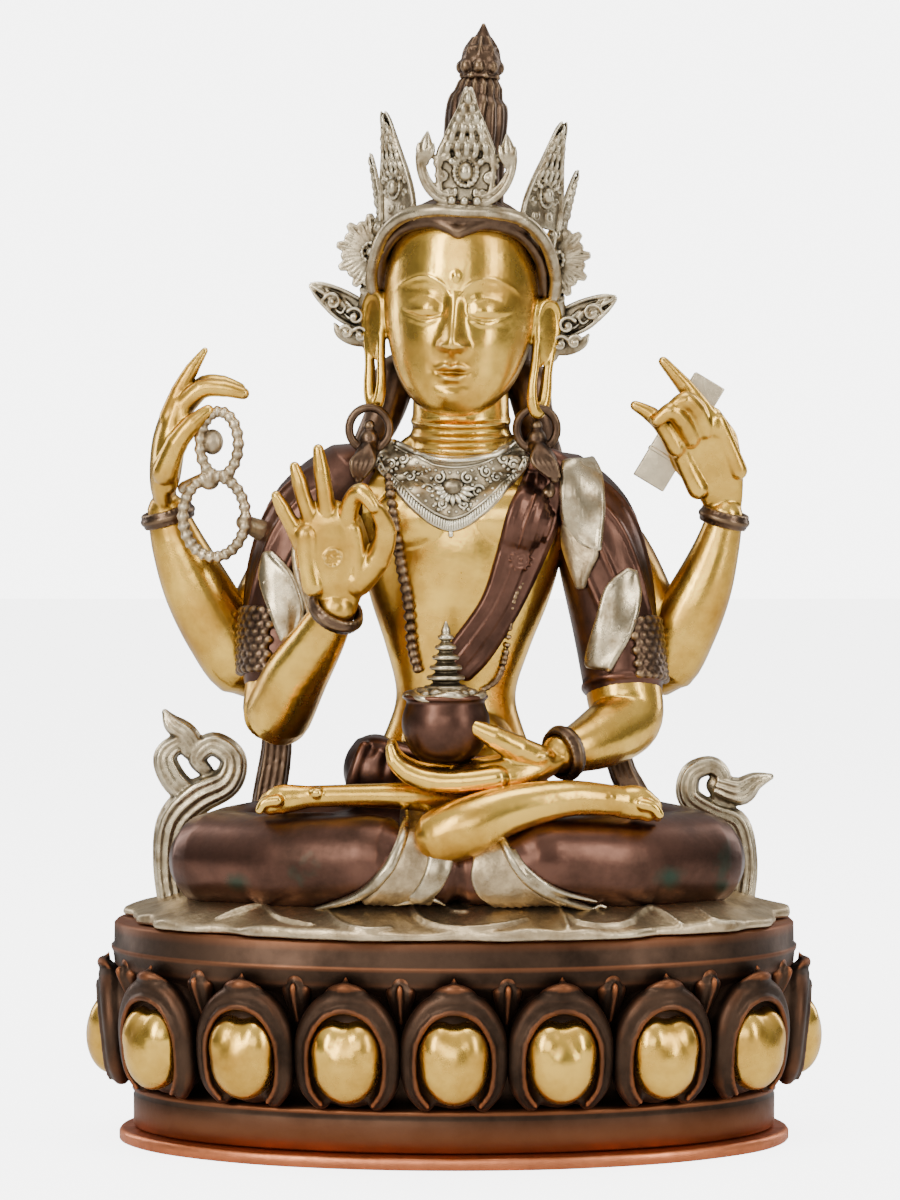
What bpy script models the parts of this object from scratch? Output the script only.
"""Seated four-armed deity cast in brass on an oval lotus pedestal.

Metres, +Z up. The figure faces -Y, and its own right hand is on the -X side. The origin is at the centre of the
pedestal's underside. The pedestal, its base plate and the crown are castings of their own; the rest is one casting.
"""

import math

import bmesh
import bpy
from mathutils import Matrix, Vector

# Pedestal, in metres
PLINTH_HALF_WIDTH = 0.1500
PLINTH_HALF_DEPTH = 0.0815
PLATE_THICKNESS = 0.0058
PLATE_OVERHANG = 0.0068
PLINTH_HEIGHT = 0.0200
PETAL_ZONE_HEIGHT = 0.0560
TOP_BAND_HEIGHT = 0.0210
TOP_BAND_STEP = 0.0090
NECK_STEP = 0.0030
SEAM = 0.0003
OVAL_SIDES = 48

# Lotus petals, in metres
PETAL_COUNT = 16
PETAL_HALF_WIDTH = 0.0222
PETAL_HALF_HEIGHT = 0.0290
PETAL_BULGE = 0.0150
LOBE_HALF_WIDTH = 0.0158
LOBE_HALF_HEIGHT = 0.0205
LOBE_BULGE = 0.0110
LOBE_REACH = 0.0110

# Figure: its height from the seat to the finial's tip, and the canon of parts that its pose is given in
FIGURE_HEIGHT = 0.4150
CANON = 890
PART = FIGURE_HEIGHT / CANON
OFF_CENTRE = 3
FIGURE_GRAIN = 3.40 * PART
FIGURE_TRIANGLES = 4600
CROWN_GRAIN = 2.36 * PART
CROWN_TRIANGLES = 1150
CROWN_CLEARANCE = 1.93 * PART
HEAD_REGION_HALF = (193, 193, 257)
HEAD_REGION_RISE = 129

PLATE_TOP = PLATE_THICKNESS
PLINTH_FOOT = PLATE_TOP + SEAM
PLINTH_TOP = PLINTH_FOOT + PLINTH_HEIGHT
PETAL_TOP = PLINTH_TOP + PETAL_ZONE_HEIGHT
PEDESTAL_TOP = PETAL_TOP + TOP_BAND_HEIGHT
SEAT = Vector((OFF_CENTRE * PART, 0, PEDESTAL_TOP + SEAM))
FACING = Vector((0, -1, 0))
HEAD_CENTRE = Vector((4, -6, 600))
HEAD_TURN = (
    Matrix.Translation(HEAD_CENTRE)
    @ Matrix.Rotation(math.radians(2.6), 4, "Y")
    @ Matrix.Rotation(math.radians(-5), 4, "Z")
)
HEAD_ROOT = Matrix.Identity(4)


def clear_scene():
    for thing in list(bpy.data.objects):
        bpy.data.objects.remove(thing)


def finish_material(name, colour, roughness):
    """Cast metal with a plain colour."""
    made = bpy.data.materials.new(name)
    made.use_nodes = True
    shader = made.node_tree.nodes["Principled BSDF"]
    shader.inputs["Base Color"].default_value = (*colour, 1)
    shader.inputs["Metallic"].default_value = 1.0
    shader.inputs["Roughness"].default_value = roughness
    return made


def add_object(name, bm, material):
    bmesh.ops.recalc_face_normals(bm, faces=bm.faces)
    mesh = bpy.data.meshes.new(name)
    bm.to_mesh(mesh)
    bm.free()
    mesh.materials.append(material)
    thing = bpy.data.objects.new(name, mesh)
    bpy.context.scene.collection.objects.link(thing)
    return thing


def baked(thing):
    """The object's modifiers made part of its mesh."""
    graph = bpy.context.evaluated_depsgraph_get()
    mesh = bpy.data.meshes.new_from_object(thing.evaluated_get(graph))
    thing.modifiers.clear()
    thing.data = mesh
    return thing


# Shapes. Points and radii of the figure are in parts from the seat's centre

def flowing(rows, steps):
    """The rows read along a smooth curve through them, with this many steps to a span."""
    found = []
    last = len(rows) - 1
    for i in range(last):
        a, b, c, d = (rows[min(max(i + k, 0), last)] for k in (-1, 0, 1, 2))
        for step in range(steps):
            t = step / steps
            found.append(
                [
                    0.5 * (2 * q + (r - p) * t + (2 * p - 5 * q + 4 * r - s) * t * t + (3 * q - p - 3 * r + s) * t**3)
                    for p, q, r, s in zip(a, b, c, d)
                ]
            )
    found.append(list(rows[-1]))
    return found


def stations_of(rows, flat, facing):
    """Each row's matrix, from a unit disc to that section of the limb. A flat limb is thin along facing."""
    points = [Vector(row[:3]) for row in rows]
    made = []
    for i, row in enumerate(rows):
        along = (points[min(i + 1, len(rows) - 1)] - points[max(i - 1, 0)]).normalized()
        thin = facing - along * facing.dot(along)
        if thin.length < 0.05:
            thin = along.orthogonal()
        thin.normalize()
        across = thin.cross(along)
        radius = max(row[3], 0.05)
        section = Matrix((across * radius, thin * radius * flat, along)).transposed().to_4x4()
        made.append(Matrix.Translation(points[i]) @ section)
    return made


def rounded(rows):
    """The rows with a half-round end added before the first and after the last."""
    ends = []
    for near, beyond in ((rows[0], rows[1]), (rows[-1], rows[-2])):
        out = (Vector(near[:3]) - Vector(beyond[:3])).normalized()
        cap = []
        for angle in (30, 60, 80):
            reach = math.sin(math.radians(angle)) * near[3]
            cap.append([*(Vector(near[:3]) + out * reach), near[3] * math.cos(math.radians(angle))])
        ends.append(cap)
    return ends[0][::-1] + [list(row) for row in rows] + ends[1]


def extruded(bm, sections, sides):
    """A closed body that passes through these sections, each a matrix from a unit disc."""
    body = bmesh.new()
    disc = bmesh.ops.create_circle(body, cap_ends=True, segments=sides, radius=1, matrix=sections[0])
    face = disc["verts"][0].link_faces[0]
    for before, after in zip(sections, sections[1:]):
        region = [face, *face.edges, *face.verts]
        made = bmesh.ops.extrude_face_region(body, geom=region)["geom"]
        face = next(item for item in made if isinstance(item, bmesh.types.BMFace))
        moved = [item for item in made if isinstance(item, bmesh.types.BMVert)]
        bmesh.ops.transform(body, matrix=after @ before.inverted(), verts=moved)
    add_to(bm, body)


def add_to(bm, body):
    """Moves a body of its own into the shape that is being built."""
    mesh = bpy.data.meshes.new("body")
    body.to_mesh(mesh)
    body.free()
    bm.from_mesh(mesh)
    bpy.data.meshes.remove(mesh)


def limb(bm, rows, flat=1.0, facing=FACING, steps=4, sides=12, place=HEAD_ROOT):
    """A closed limb along rows of x, y, z and radius: a disc extruded from one section to the next."""
    rows = rounded(flowing(rows, steps))
    sections = [place @ section for section in stations_of(rows, flat, facing)]
    extruded(bm, sections, sides)


def ball(bm, centre, radii, place=HEAD_ROOT, turn=HEAD_ROOT, detail=2):
    """An ellipsoid with these half sizes."""
    size = Matrix.Diagonal((*radii, 1))
    where = place @ Matrix.Translation(centre) @ turn @ size
    bmesh.ops.create_icosphere(bm, subdivisions=detail, radius=1, matrix=where)


def block(bm, centre, half, turn=HEAD_ROOT, place=HEAD_ROOT):
    size = Matrix.Diagonal((*half, 1))
    bmesh.ops.create_cube(bm, size=2, matrix=place @ Matrix.Translation(centre) @ turn @ size)


def loop(bm, centre, radii, thickness, turn=HEAD_ROOT, beads=24, place=HEAD_ROOT):
    """A ring in the XZ plane, unless it is turned."""
    rows = []
    for i in range(beads + 2):
        angle = 2 * math.pi * i / beads
        spot = turn @ Vector((math.cos(angle) * radii[0], 0, math.sin(angle) * radii[1]))
        rows.append([*(Vector(centre) + spot), thickness])
    limb(bm, rows, steps=1, sides=8, place=place, facing=turn.to_3x3() @ FACING)


# Torso, as level oval sections: height, centre x and y, half width and half depth
TORSO = (
    (70, 0, 22, 112, 84),
    (112, 0, 20, 106, 70),
    (150, -3, 14, 86, 58),
    (190, -2, 9, 68, 50),
    (225, -1, 6, 60, 46),
    (270, 1, 6, 72, 49),
    (320, 3, 8, 90, 55),
    (370, 4, 9, 103, 60),
    (410, 4, 10, 112, 58),
    (440, 4, 12, 108, 48),
    (462, 4, 12, 84, 38),
    (482, 4, 10, 56, 34),
)


def torso_section(height):
    """Centre and half sizes of the torso at this height."""
    rows = flowing(TORSO, 8)
    near = min(rows, key=lambda row: abs(row[0] - height))
    return near[1:]


def chest_front(x, z, proud=0.0):
    """The point on the torso's front at x and z, standing proud by so many parts."""
    cx, cy, wide, deep = torso_section(z)
    share = min(abs(x - cx) / wide, 0.97)
    return [x, cy - deep * math.sqrt(1 - share * share) - proud, z]


def add_torso(bm):
    rows = flowing(TORSO, 3)
    sections = []
    for z, cx, cy, wide, deep in rows:
        sections.append(Matrix.Translation((cx, cy, z)) @ Matrix.Diagonal((wide, deep, 1, 1)))
    extruded(bm, sections, 28)
    for side in (-1, 1):
        ball(bm, (4 + side * 44, -34, 402), (44, 22, 34))
        ball(bm, (4 + side * 84, 12, 428), (50, 40, 34))
    ball(bm, (0, -20, 175), (56, 38, 44))
    limb(bm, ((4, 10, 440, 56), (4, 2, 478, 51), (4, -4, 520, 50)), sides=20)


# Head, with its own axes at its centre
def add_head(bm):
    skull = HEAD_TURN
    ball(bm, (0, 12, 24), (79, 84, 86), skull, detail=3)
    ball(bm, (0, -8, -6), (77, 68, 88), skull, detail=3)
    ball(bm, (0, -20, -50), (60, 52, 46), skull)
    ball(bm, (0, -58, -74), (24, 20, 20), skull)
    for side in (-1, 1):
        ball(bm, (side * 40, -44, -28), (30, 26, 34), skull)
        ball(bm, (side * 33, -66, 6), (19, 14, 11), skull)
        limb(bm, ((side * 8, -79, 20, 4), (side * 34, -76, 30, 4), (side * 60, -55, 22, 3)), place=skull)
        ball(bm, (side * 9, -84, -30), (8, 8, 7), skull)
    limb(bm, ((0, -74, 24, 6), (0, -84, -4, 7), (0, -94, -26, 9)), place=skull)
    limb(bm, ((-16, -77, -48, 3), (0, -86, -47, 5), (16, -77, -48, 3)), place=skull)
    limb(bm, ((-12, -77, -56, 3), (0, -84, -57, 6), (12, -77, -56, 3)), place=skull)


def add_ears(bm):
    for side in (-1, 1):
        rim = ((81, -14, 14, 7), (88, -2, 22, 8), (90, 4, 2, 8), (84, -2, -36, 7), (76, -10, -72, 8), (73, -12, -92, 8))
        limb(bm, [(side * x, y, z, r) for x, y, z, r in rim], place=HEAD_TURN)
        inner = ((80, -20, 4, 5), (80, -18, -30, 4), (74, -16, -66, 6))
        limb(bm, [(side * x, y, z, r) for x, y, z, r in inner], place=HEAD_TURN)


def add_hair(bm):
    ball(bm, (0, 24, 42), (86, 88, 82), HEAD_TURN, detail=3)
    ball(bm, (0, 52, -20), (70, 46, 78), HEAD_TURN)
    for side in (-1, 1):
        lock = ((70, 40, -60, 20), (84, 28, -110, 17), (98, 8, -150, 13), (100, -16, -172, 8))
        limb(bm, [(side * x, y, z, r) for x, y, z, r in lock], place=HEAD_TURN)
    knot = ((3, 14, 106, 35), (3, 14, 150, 33), (4, 15, 190, 33), (5, 15, 214, 25), (6, 15, 230, 19))
    limb(bm, knot, sides=16, place=HEAD_TURN)
    finial = ((6, 15, 238, 18), (7, 15, 252, 21), (7, 15, 266, 15), (8, 15, 282, 5))
    limb(bm, finial, sides=16, place=HEAD_TURN)
    for angle in range(-120, 121, 40):
        turn = math.radians(angle)
        ball(bm, (7 + 17 * math.sin(turn), 15 - 17 * math.cos(turn), 246), (7, 7, 8), HEAD_TURN)


# Arms: chains from the shoulder to the wrist
RIGHT_FRONT_ARM = ((-112, 12, 432, 41), (-147, 14, 396, 43), (-163, 8, 345, 43), (-171, 0, 290, 41),
                   (-176, -10, 235, 37), (-177, -22, 205, 34))
RIGHT_FRONT_FOREARM = ((-179, -22, 204, 34), (-160, -52, 243, 31), (-136, -84, 282, 26), (-118, -106, 314, 21))
LEFT_FRONT_ARM = ((108, 12, 426, 38), (136, 14, 392, 41), (148, 8, 345, 42), (158, 0, 290, 40),
                  (166, -10, 235, 38), (169, -24, 200, 35))
LEFT_FRONT_FOREARM = ((170, -26, 199, 35), (144, -62, 186, 31), (122, -88, 178, 26), (102, -104, 173, 21))
RIGHT_REAR_ARM = ((-122, 42, 425, 38), (-165, 50, 360, 40), (-200, 48, 290, 38), (-214, 42, 254, 37),
                  (-238, 34, 286, 37), (-260, 28, 330, 34), (-278, 22, 372, 28), (-288, 18, 406, 21))
LEFT_REAR_ARM = ((124, 42, 425, 38), (162, 50, 360, 40), (194, 46, 290, 38), (207, 40, 256, 37),
                 (228, 32, 290, 35), (245, 26, 330, 30), (259, 22, 370, 23), (267, 18, 402, 18))


def add_arms(bm):
    chains = (RIGHT_FRONT_ARM, RIGHT_FRONT_FOREARM, LEFT_FRONT_ARM, LEFT_FRONT_FOREARM, RIGHT_REAR_ARM, LEFT_REAR_ARM)
    for chain in chains:
        limb(bm, chain, sides=16)
    limb(bm, ((205, 36, 292, 18), (222, 28, 318, 17), (234, 26, 336, 12)))
    for centre, axis, radius in (
        ((-118, -106, 312), (18, -22, 32), 24),
        ((104, -104, 173), (-20, -16, -5), 24),
        ((-287, 18, 402), (-10, -4, 34), 24),
        ((266, 18, 400), (8, -4, 32), 22),
    ):
        turn = Vector((0, 1, 0)).rotation_difference(Vector(axis)).to_matrix().to_4x4()
        loop(bm, centre, (radius, radius), 5.5, turn)


# Hands: a palm, then each finger from its root to its tip
RIGHT_FRONT_PALM = ((-117, -108, 318, 22), (-117, -114, 340, 30), (-120, -117, 364, 37), (-123, -118, 386, 35))
RIGHT_FRONT_FINGERS = (
    ((-148, -118, 382, 9), (-162, -122, 404, 8), (-174, -125, 422, 6)),
    ((-138, -119, 396, 9), (-149, -124, 426, 8), (-157, -127, 450, 6)),
    ((-124, -120, 398, 9), (-129, -127, 436, 8.5), (-133, -131, 468, 6)),
    ((-112, -120, 396, 9), (-104, -132, 418, 9), (-91, -144, 427, 8.5), (-80, -150, 414, 7)),
    ((-96, -112, 346, 14), (-76, -120, 366, 11), (-70, -132, 392, 9), (-76, -144, 410, 8)),
)
LEFT_FRONT_PALM = ((100, -104, 170, 20), (76, -112, 161, 30), (48, -119, 153, 36), (22, -121, 150, 35))
LEFT_FRONT_FINGERS = tuple(
    ((26, y, 150, 9), (-8, y, 147, 9), (-38, y + 2, 152, 8), (-60, y + 4, 166, 7), (-64, y + 4, 180, 5))
    for y in (-152, -133, -114, -96)
) + (((74, -130, 166, 13), (54, -142, 180, 10), (32, -146, 192, 9), (18, -144, 199, 7)),)
RIGHT_REAR_PALM = ((-292, 18, 410, 20), (-294, 15, 436, 30), (-289, 11, 475, 34), (-280, 8, 508, 32))
RIGHT_REAR_FINGERS = (
    ((-284, -12, 502, 9.5), (-270, -8, 538, 8), (-252, -6, 566, 4.5)),
    ((-270, -14, 516, 9), (-240, -20, 530, 8.5), (-212, -22, 525, 7)),
    ((-270, 4, 518, 9), (-242, 2, 534, 8.5), (-216, 0, 530, 7)),
    ((-270, 22, 516, 9), (-246, 22, 532, 8), (-224, 20, 528, 6)),
    ((-286, -14, 450, 11), (-270, -24, 484, 9), (-248, -26, 506, 7)),
)
LEFT_REAR_PALM = ((267, 18, 408, 18), (259, 12, 438, 27), (247, 7, 466, 36), (240, 3, 486, 34))
LEFT_REAR_FINGERS = (
    ((256, -2, 490, 9), (236, -8, 520, 8), (205, -12, 555, 6)),
    ((248, -6, 490, 9.5), (232, -22, 514, 9), (212, -26, 510, 7)),
    ((234, -9, 482, 9.5), (216, -25, 503, 9), (199, -27, 498, 7)),
    ((220, -9, 472, 9), (202, -14, 498, 8), (178, -18, 511, 6)),
    ((262, 18, 440, 12), (246, 36, 466, 10), (226, 42, 480, 8)),
)


def add_hands(bm):
    up = Vector((0, 0, 1))
    side = Vector((1, 0, 0))
    limb(bm, RIGHT_FRONT_PALM, flat=0.42, sides=16)
    limb(bm, LEFT_FRONT_PALM, flat=0.4, facing=up, sides=16)
    limb(bm, RIGHT_REAR_PALM, flat=0.48, facing=side, sides=16)
    limb(bm, LEFT_REAR_PALM, flat=0.42, sides=16)
    for finger in RIGHT_FRONT_FINGERS + LEFT_FRONT_FINGERS + RIGHT_REAR_FINGERS + LEFT_REAR_FINGERS:
        limb(bm, finger, steps=3, sides=10)


# What the hands hold
BOWL_CENTRE = (-11, -120)


def add_bowl(bm):
    """An alms bowl with a stepped cone of offerings."""
    x, y = BOWL_CENTRE
    bowl = ((x, y, 166, 20), (x, y, 180, 35), (x, y, 200, 42), (x, y, 216, 41), (x, y, 226, 36))
    limb(bm, bowl, sides=20, facing=Vector((0, -1, 0)), steps=3)
    loop(bm, (x, y, 230), (37, 37), 5, Matrix.Rotation(math.radians(90), 4, "X"))
    for tier in range(5):
        ball(bm, (x, y, 240 + 11 * tier), (25 - 4.2 * tier, 25 - 4.2 * tier, 9))
    limb(bm, ((x, y, 282, 6), (x, y, 292, 7), (x, y, 300, 3)))


def add_rosary(bm):
    """A beaded cord hung in a figure of eight."""
    for centre, radii in (((-236, -24, 474), (19, 32)), ((-241, -24, 402), (31, 40))):
        loop(bm, centre, radii, 6.5)
    ball(bm, (-243, -18, 476), (11, 10, 13))
    ball(bm, (-246, -18, 437), (11, 10, 9))
    limb(bm, ((-252, -16, 440, 7), (-272, -4, 430, 8)))
    limb(bm, ((-212, -20, 396, 9), (-196, -6, 388, 12)))


def add_book(bm):
    """A long narrow book of loose leaves between boards."""
    turn = Matrix.Rotation(math.radians(31), 4, "Y")
    block(bm, (223, 28, 486), (17, 12, 60), turn)
    ball(bm, (238, 20, 480), (26, 14, 26))


# Lap, feet and drapery
def add_lap(bm):
    for side in (-1, 1):
        limb(bm, ((side * 50, 40, 72, 62), (side * 150, 10, 66, 58), (side * 226, -34, 64, 50)), sides=18)
        limb(bm, ((side * 237, -44, 62, 49), (side * 160, -104, 66, 47), (side * 80, -138, 73, 43)), sides=18)
        limb(bm, ((side * 80, -140, 70, 40), (side * 20, -146, 62, 34)), sides=16)
    ball(bm, (0, -40, 64), (190, 96, 57))
    ball(bm, (0, 76, 60), (120, 56, 76))
    ball(bm, (-92, 20, 132), (28, 40, 46))


RIGHT_LEG = ((-14, -166, 98, 28), (12, -170, 108, 29), (48, -166, 123, 24), (104, -152, 133, 18),
             (150, -138, 130, 15), (168, -132, 127, 14))
LEFT_LEG = ((0, -104, 126, 20), (-40, -118, 132, 14), (-110, -122, 133, 11), (-160, -118, 131, 11))


def add_feet(bm):
    limb(bm, RIGHT_LEG, sides=16)
    limb(bm, ((160, -134, 128, 15), (178, -130, 126, 17), (187, -127, 121, 14)), flat=0.8)
    limb(bm, LEFT_LEG, flat=0.9, sides=16)
    limb(bm, ((-154, -118, 130, 12), (-174, -117, 128, 14), (-184, -115, 124, 12)), flat=0.8)
    for toe in range(4):
        limb(bm, ((180, -139 + 9 * toe, 127 - 2 * toe, 7), (195, -139 + 9 * toe, 118 - 2 * toe, 6)))
        limb(bm, ((-176, -129 + 8 * toe, 128, 6), (-191, -129 + 8 * toe, 121, 5)))


HEM_HALF_WIDTH = 328
HEM_HALF_DEPTH = 196
HEM_SECTIONS = ((1.0, -6), (1.0, 6.3), (0.96, 10), (0.85, 22), (0.72, 32), (0.55, 36))


def add_hem(bm):
    """The skirt's hem, spread over the seat in shallow waves with a lifted, rolled edge."""
    sides = 80
    sections = []
    for share, height in HEM_SECTIONS:
        size = Matrix.Diagonal((HEM_HALF_WIDTH * share, HEM_HALF_DEPTH * share, 1, 1))
        sections.append(Matrix.Translation((0, -4, height)) @ size)
    plate = bmesh.new()
    extruded(plate, sections, sides)
    for vert in plate.verts:
        angle = math.atan2(vert.co.y / HEM_HALF_DEPTH, vert.co.x / HEM_HALF_WIDTH)
        swell = 1 + 0.022 * math.sin(9 * angle) + 0.012 * math.sin(17 * angle + 1)
        vert.co.x *= swell
        vert.co.y *= swell
    add_to(bm, plate)
    for i in range(11):
        angle = math.radians(198 + 14.4 * i)
        outer = Vector((HEM_HALF_WIDTH * 0.95 * math.cos(angle), HEM_HALF_DEPTH * 0.95 * math.sin(angle) - 4, 9))
        inner = Vector((outer.x * 0.80, outer.y * 0.86, 31))
        limb(bm, ((*outer, 4), (*((outer + inner) / 2 + Vector((7, 0, 5))), 6), (*inner, 7)), sides=8)


def add_front_folds(bm):
    """Fluted cloth that falls from the ankles over the shins and runs out onto the hem."""
    right_folds = (
        ((-20, -178, 126, 10), (-18, -192, 82, 11), (-24, -198, 46, 9), (-40, -198, 24, 6)),
        ((-36, -174, 126, 10), (-42, -190, 76, 11), (-58, -194, 42, 9), (-92, -190, 22, 6)),
        ((-51, -168, 126, 9), (-67, -184, 74, 9), (-91, -186, 50, 8), (-141, -178, 25, 5)),
    )
    left_folds = (
        ((45, -182, 101, 7), (55, -190, 75, 9), (79, -192, 48, 8), (109, -188, 35, 7), (145, -180, 22, 5)),
        ((32, -180, 94, 15), (33, -188, 68, 18), (42, -190, 36, 14)),
    )
    for fold in right_folds + left_folds:
        limb(bm, fold, sides=10)


def add_sash(bm):
    """A sash from the left shoulder across the chest, and the strand of beads that hangs beside it."""
    band = []
    for x, z, half in ((86, 462, 22), (74, 410, 27), (58, 350, 27), (34, 290, 24), (10, 245, 20)):
        band.append([*chest_front(x, z, 2), half])
    limb(bm, band, flat=0.28, steps=5, sides=12)
    strand = []
    for x, z in ((-66, 440), (-58, 380), (-46, 320), (-40, 270), (-34, 232)):
        strand.append([*chest_front(x, z, 3), 8])
    limb(bm, strand, steps=5, sides=8)
    far = []
    for x, z in ((50, 290), (50, 258), (40, 232)):
        far.append([*chest_front(x, z, 3), 6])
    limb(bm, far, steps=4, sides=8)


def add_necklace(bm):
    """A broad collar plate that comes to a point on the breast."""
    rows = []
    for i in range(9):
        x = -76 + 19 * i + 4
        top = 470 - 24 * (1 - ((x - 4) / 76) ** 2)
        low = 392 + 62 * abs((x + 4) / 76) ** 1.6
        rows.append([*chest_front(x, (top + low) / 2, 5), (top - low) / 2])
    for before, after in zip(rows, rows[1:]):
        limb(bm, ((*before[:3], before[3]), (*after[:3], after[3])), flat=0.2, steps=2, sides=8)


def add_shawl(bm):
    """The shawl over the shoulders and upper arms, and its ends that drop behind the elbows."""
    for chain, side in ((RIGHT_FRONT_ARM, -1), (LEFT_FRONT_ARM, 1)):
        sleeve = [(x, y, z, r + 2) for x, y, z, r in chain[:4]]
        x, y, z, r = chain[4]
        sleeve.append((x, y + 1, z + 14, r + 3))
        limb(bm, sleeve, sides=18)
        limb(bm, ((side * 66, 22, 448, 28), (side * 98, 20, 432, 36), (side * 126, 14, 408, 41)), sides=16)
    ball(bm, (108, 22, 452), (26, 26, 15))
    limb(bm, ((-182, 24, 206, 14), (-182, 26, 166, 16), (-190, 24, 116, 17), (-196, 20, 90, 14)), flat=0.5)
    limb(bm, ((158, 24, 200, 12), (165, 24, 150, 14), (181, 22, 116, 15), (190, 18, 88, 14)), flat=0.5)


def add_streamers(bm):
    """The scarf's two ends, curling up like flames beside the knees."""
    right = (
        ((-286, 22, 6, 13), (-292, 26, 50, 13), (-286, 26, 92, 15), (-262, 24, 118, 16), (-232, 24, 134, 14), (-226, 24, 158, 12),
         (-246, 24, 172, 11), (-262, 24, 158, 9), (-252, 24, 144, 7)),
        ((-262, 24, 116, 11), (-284, 24, 134, 12), (-294, 24, 158, 11), (-280, 24, 172, 9), (-268, 24, 162, 7)),
        ((-262, 24, 168, 9), (-272, 24, 182, 9), (-286, 24, 192, 8), (-294, 24, 203, 4)),
    )
    left = (
        ((284, 22, 6, 13), (290, 26, 50, 12), (282, 26, 90, 12), (258, 24, 102, 11), (234, 24, 118, 11), (236, 24, 142, 10),
         (256, 24, 150, 9), (268, 24, 138, 8), (262, 24, 120, 8), (278, 24, 106, 7)),
        ((262, 24, 130, 10), (284, 24, 124, 13), (300, 24, 134, 9), (315, 24, 138, 5)),
    )
    for curl in right + left:
        limb(bm, [(x, y, z, r * 0.85) for x, y, z, r in curl], flat=0.85)


def add_earrings(bm):
    for x, tassel in ((-87, -97), (79, 96)):
        loop(bm, (x, -24, 489), (21, 22), 4.5)
        ball(bm, (x, -22, 476), (10, 9, 13))
        limb(bm, ((x, -26, 470, 8), ((x + tassel) / 2, -34, 456, 10), (tassel, -40, 442, 5)))


def figure_object(brass):
    """The whole figure: its limbs fused, smoothed, brought to few faces and cut level at the seat."""
    bm = bmesh.new()
    for add in (add_torso, add_head, add_ears, add_hair, add_arms, add_hands, add_bowl, add_rosary, add_book,
                add_lap, add_feet, add_hem, add_front_folds, add_sash, add_necklace, add_shawl, add_streamers,
                add_earrings):
        add(bm)
    bmesh.ops.transform(bm, matrix=Matrix.Translation(SEAT) @ Matrix.Scale(PART, 4), verts=bm.verts)
    figure = add_object("figure", bm, brass)
    fuse(figure, FIGURE_GRAIN, FIGURE_TRIANGLES)
    cut_below(figure, SEAT.z)
    return figure


def fuse(thing, grain, triangles):
    """Joins overlapping shapes in one skin, evens it out and reduces it to about this many triangles."""
    remesh = thing.modifiers.new("one_skin", "REMESH")
    remesh.mode = "VOXEL"
    remesh.voxel_size = grain
    smooth = thing.modifiers.new("even_out", "SMOOTH")
    smooth.factor = 0.5
    smooth.iterations = 3
    baked(thing)
    thing.data.calc_loop_triangles()
    decimate = thing.modifiers.new("few_faces", "DECIMATE")
    decimate.ratio = min(1.0, triangles / len(thing.data.loop_triangles))
    baked(thing)


def cutter(name, bm):
    tool = add_object(name, bm, bpy.data.materials["cutter"])
    tool.hide_render = True
    tool.display_type = "WIRE"
    return tool


def cut_below(thing, height):
    """Takes away all that lies under this height, with a flat face there."""
    bm = bmesh.new()
    where = Matrix.Translation((0, 0, height - 0.5)) @ Matrix.Diagonal((1, 1, 1, 1))
    bmesh.ops.create_cube(bm, size=1, matrix=where)
    level = thing.modifiers.new("level_foot", "BOOLEAN")
    level.operation = "DIFFERENCE"
    level.object = cutter(thing.name + "_foot_cutter", bm)


# Crown
CROWN_ARCH = ((-88, -4, 14), (-88, -16, 42), (-76, -44, 76), (-54, -66, 94), (-24, -80, 100), (6, -83, 100),
              (36, -80, 100), (64, -66, 94), (84, -44, 74), (93, -16, 42), (92, -4, 14))
CROWN_RING = ((6, -83, 100), (-54, -64, 94), (-82, -20, 84), (-86, 24, 78), (-62, 82, 76), (4, 110, 74),
              (68, 82, 76), (92, 24, 78), (90, -20, 84), (64, -64, 94), (6, -83, 100))
LEAVES = (
    # angle round the head, height of its foot, height of its tip, half width
    (0, 100, 216, 46),
    (-55, 96, 195, 33),
    (59, 96, 192, 33),
    (-98, 78, 156, 23),
    (100, 78, 147, 21),
)


def add_crown(bm):
    place = HEAD_TURN
    for band in (CROWN_ARCH, CROWN_RING):
        limb(bm, [(x, y - 4, z, 8.5) for x, y, z in band], steps=4, sides=10, place=place)
    for angle, foot, tip, half in LEAVES:
        turn = math.radians(angle)
        out = Vector((math.sin(turn), -math.cos(turn), 0))
        base = Vector((6, 4, 0)) + Vector((out.x * 84, out.y * 88, foot))
        rise = tip - foot
        rows = []
        for share, wide, lean in ((0.0, 0.6, 0), (0.2, 1.0, 3), (0.45, 0.84, 6), (0.72, 0.5, 10), (0.98, 0.16, 13)):
            rows.append([*(base + out * lean + Vector((0, 0, rise * share))), half * wide])
        limb(bm, rows, flat=0.24, facing=out, place=place, sides=12)
        across = Vector((-out.y, out.x, 0))
        ball(bm, base + out * 11 + Vector((0, 0, rise * 0.3)), (half * 0.3, half * 0.3, half * 0.4), place)
        for side in (-1, 1):
            curl = base + across * side * half * 0.95 + out * 3
            rows = [
                [*(base + out * 4 + across * side * half * 0.4), half * 0.2],
                [*(curl + Vector((0, 0, rise * 0.12))), half * 0.2],
                [*(curl + across * side * half * 0.25 + Vector((0, 0, rise * 0.34))), half * 0.17],
                [*(curl + across * side * half * 0.1 + Vector((0, 0, rise * 0.5))), half * 0.08],
            ]
            limb(bm, rows, place=place, facing=out)
            ball(bm, base + across * side * half * 0.5 + out * 7 + Vector((0, 0, rise * 0.02)),
                 (half * 0.18,) * 3, place)
    for side in (-1, 1):
        add_rosette(bm, side, place)
        add_ear_wing(bm, side, place)


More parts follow.
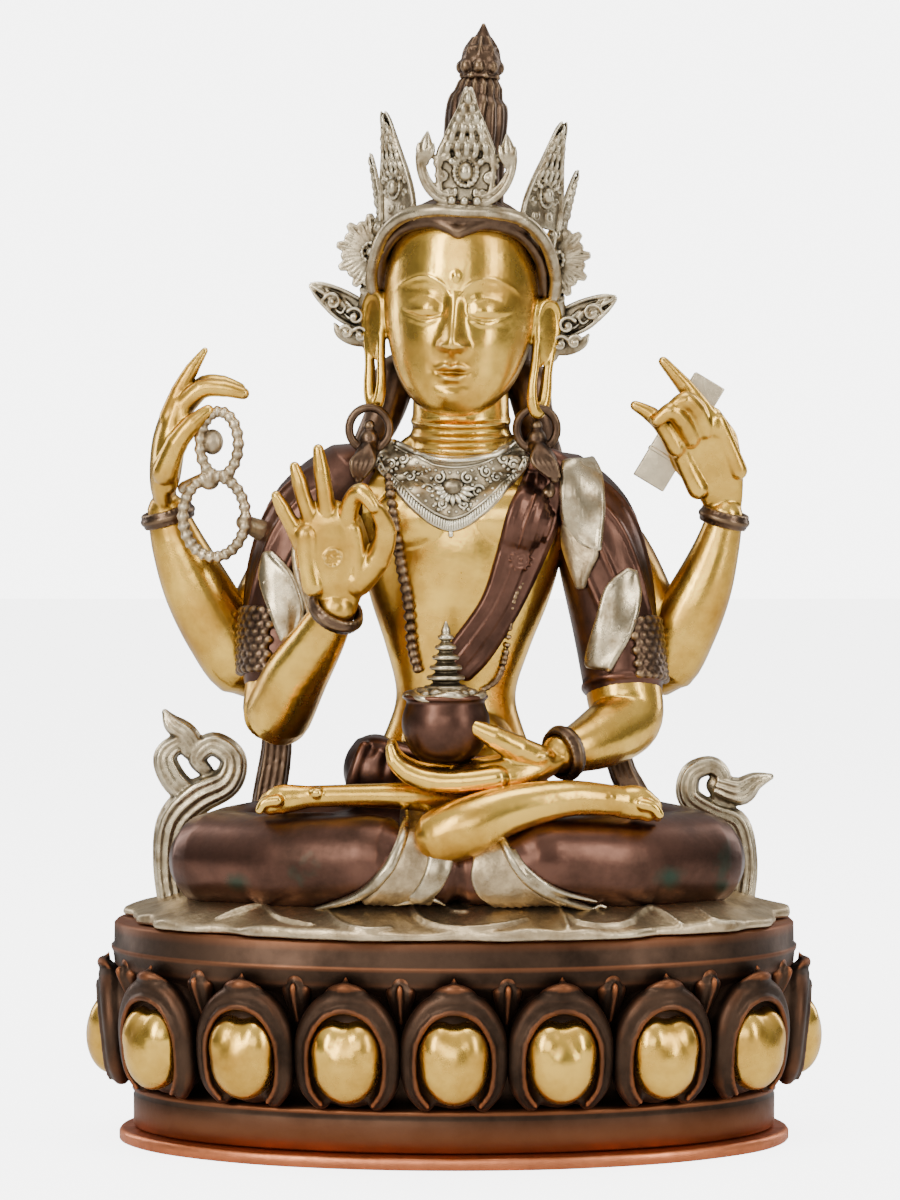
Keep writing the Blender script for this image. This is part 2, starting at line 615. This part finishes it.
def add_rosette(bm, side, place):
    """A fan of petals on the side of the crown."""
    centre = Vector((side * 92, -6, 54))
    ball(bm, centre, (14, 12, 14), place)
    for i in range(7):
        angle = math.radians(-62 + 24 * i)
        out = Vector((side * math.cos(angle), 0.25, math.sin(angle)))
        tip = centre + out * 30
        limb(bm, ((*(centre + out * 6), 5), (*(centre + out * 20), 6.5), (*tip, 3)), flat=0.8, place=place, steps=2)


def add_ear_wing(bm, side, place):
    """The tied ribbon that stands out beside the ear like a leaf."""
    wing = ((88, 14, -22, 10), (104, 12, -6, 15), (122, 10, 8, 14), (140, 8, 18, 8), (150, 8, 24, 3))
    limb(bm, [(side * x, y, z, r) for x, y, z, r in wing], flat=0.4, place=place)
    lobe = ((88, 14, -30, 9), (106, 12, -24, 9), (120, 10, -18, 4))
    limb(bm, [(side * x, y, z, r) for x, y, z, r in lobe], flat=0.5, place=place)
    post = ((88, -2, 40, 11), (92, 6, 8, 11), (90, 12, -24, 11))
    limb(bm, [(side * x, y, z, r) for x, y, z, r in post], flat=0.6, place=place)


def keep_largest(thing):
    """Drops the scraps that the head cuts off the crown's inner side."""
    bm = bmesh.new()
    bm.from_mesh(thing.data)
    left = set(bm.verts)
    pieces = []
    while left:
        reached = {left.pop()}
        edge_of_reach = list(reached)
        while edge_of_reach:
            near = {edge.other_vert(vert) for vert in edge_of_reach for edge in vert.link_edges} - reached
            reached |= near
            edge_of_reach = list(near)
        left -= reached
        pieces.append(reached)
    pieces.sort(key=len)
    scraps = [vert for piece in pieces[:-1] for vert in piece]
    bmesh.ops.delete(bm, geom=scraps, context="VERTS")
    bm.to_mesh(thing.data)
    bm.free()


def crown_object(silver, figure):
    bm = bmesh.new()
    add_crown(bm)
    bmesh.ops.transform(bm, matrix=Matrix.Translation(SEAT) @ Matrix.Scale(PART, 4), verts=bm.verts)
    crown = add_object("crown", bm, silver)
    fuse(crown, CROWN_GRAIN, CROWN_TRIANGLES)
    head = figure.copy()
    head.name = "crown_seat_cutter"
    bpy.context.scene.collection.objects.link(head)
    head.hide_render = True
    head.display_type = "WIRE"
    bm = bmesh.new()
    block(bm, (0, 0, HEAD_CENTRE.z + HEAD_REGION_RISE), HEAD_REGION_HALF)
    bmesh.ops.transform(bm, matrix=Matrix.Translation(SEAT) @ Matrix.Scale(PART, 4), verts=bm.verts)
    crop = head.modifiers.new("head_only", "BOOLEAN")
    crop.operation = "INTERSECT"
    crop.object = cutter("head_region", bm)
    grow = head.modifiers.new("clearance", "DISPLACE")
    grow.strength = CROWN_CLEARANCE
    grow.mid_level = 0
    skin = head.modifiers.new("one_skin", "REMESH")
    skin.mode = "VOXEL"
    skin.voxel_size = CROWN_CLEARANCE
    fewer = head.modifiers.new("few_faces", "DECIMATE")
    fewer.ratio = 0.02
    baked(head)
    seat = crown.modifiers.new("seat_on_head", "BOOLEAN")
    seat.operation = "DIFFERENCE"
    seat.object = head
    creases = crown.modifiers.new("clear_of_creases", "BOOLEAN")
    creases.operation = "DIFFERENCE"
    creases.object = figure
    baked(crown)
    keep_largest(crown)
    return crown


# Pedestal
def oval_section(step, height):
    size = Matrix.Diagonal((PLINTH_HALF_WIDTH + step, PLINTH_HALF_DEPTH + step, 1, 1))
    return Matrix.Translation((0, 0, height)) @ size


def oval_solid(bm, profile):
    """An oval turned shape: a disc extruded through steps outward from the plinth and heights."""
    sections = [oval_section(step, height) for step, height in profile]
    extruded(bm, sections, OVAL_SIDES)


def petal_stations():
    """Evenly spaced places round the oval, each a point on the plinth's outline and its outward direction."""
    fine = 2880
    length = [0.0]
    points = []
    for i in range(fine + 1):
        angle = 2 * math.pi * i / fine - math.pi / 2
        points.append(Vector((PLINTH_HALF_WIDTH * math.cos(angle), PLINTH_HALF_DEPTH * math.sin(angle), 0)))
        if i:
            length.append(length[-1] + (points[i] - points[i - 1]).length)
    found = []
    for petal in range(2 * PETAL_COUNT):
        target = length[-1] * petal / (2 * PETAL_COUNT)
        i = min(range(fine), key=lambda k: abs(length[k] - target))
        along = (points[(i + 1) % fine] - points[i - 1]).normalized()
        found.append((points[i], Vector((along.y, -along.x, 0))))
    return found


def pedestal_object(copper):
    bm = bmesh.new()
    profile = (
        (0, PLINTH_FOOT),
        (0, PLINTH_TOP),
        (-0.010, PLINTH_TOP + 0.001),
        (NECK_STEP, PETAL_TOP - 0.007),
        (TOP_BAND_STEP, PETAL_TOP),
        (TOP_BAND_STEP + 0.0012, PETAL_TOP + TOP_BAND_HEIGHT * 0.4),
        (TOP_BAND_STEP, PEDESTAL_TOP),
    )
    oval_solid(bm, profile)
    pedestal = add_object("lotus_pedestal", bm, copper)
    petals = bmesh.new()
    for index, (spot, out) in enumerate(petal_stations()):
        face = Matrix((out.cross(Vector((0, 0, 1))), out, Vector((0, 0, 1)))).transposed().to_4x4()
        if index % 2:
            add_pointed_tip(petals, spot, out, face)
        else:
            add_petal(petals, spot, out, face)
    tool = cutter("petal_ring", petals)
    join = pedestal.modifiers.new("petals", "BOOLEAN")
    join.operation = "UNION"
    join.use_self = True
    join.object = tool
    return pedestal


def add_petal(bm, spot, out, face):
    """One broad petal with the swollen lobe that stands out of its lower half."""
    middle = PLINTH_TOP + PETAL_HALF_HEIGHT + 0.0005
    shield = Matrix.Translation(spot + out * 0.0005 + Vector((0, 0, middle))) @ face
    size = Matrix.Diagonal((PETAL_HALF_WIDTH, PETAL_BULGE, PETAL_HALF_HEIGHT, 1))
    bmesh.ops.create_uvsphere(bm, u_segments=8, v_segments=6, radius=1, matrix=shield @ size)
    low = PLINTH_TOP + LOBE_HALF_HEIGHT + 0.0008
    lobe = Matrix.Translation(spot + out * LOBE_REACH + Vector((0, 0, low))) @ face
    size = Matrix.Diagonal((LOBE_HALF_WIDTH, LOBE_BULGE, LOBE_HALF_HEIGHT, 1))
    bmesh.ops.create_uvsphere(bm, u_segments=8, v_segments=5, radius=1, matrix=lobe @ size)


def add_pointed_tip(bm, spot, out, face):
    """The tip of a petal of the row behind, seen between two front petals."""
    height = PETAL_ZONE_HEIGHT * 0.42
    foot = spot + out * 0.004 + Vector((0, 0, PETAL_TOP - height / 2 - 0.003))
    turn = Matrix.Rotation(math.pi, 4, "X")
    where = Matrix.Translation(foot) @ face @ turn
    bmesh.ops.create_cone(bm, cap_ends=True, segments=6, radius1=0.0062, radius2=0.0012, depth=height, matrix=where)


def plate_object(copper):
    """The sheet that closes the pedestal's underside, with a rim that stands out all round."""
    bm = bmesh.new()
    oval_solid(bm, ((PLATE_OVERHANG, 0), (PLATE_OVERHANG, PLATE_TOP - 0.0010), (PLATE_OVERHANG - 0.0012, PLATE_TOP)))
    return add_object("base_plate", bm, copper)


def build():
    clear_scene()
    brass = finish_material("brass", (0.72, 0.50, 0.20), 0.25)
    silver = finish_material("silver", (0.70, 0.68, 0.62), 0.3)
    dark_copper = finish_material("dark_copper", (0.12, 0.06, 0.045), 0.35)
    copper = finish_material("copper", (0.55, 0.22, 0.12), 0.4)
    finish_material("cutter", (0.5, 0.5, 0.5), 0.5)
    figure = figure_object(brass)
    crown_object(silver, figure)
    pedestal_object(dark_copper)
    plate_object(copper)


build()
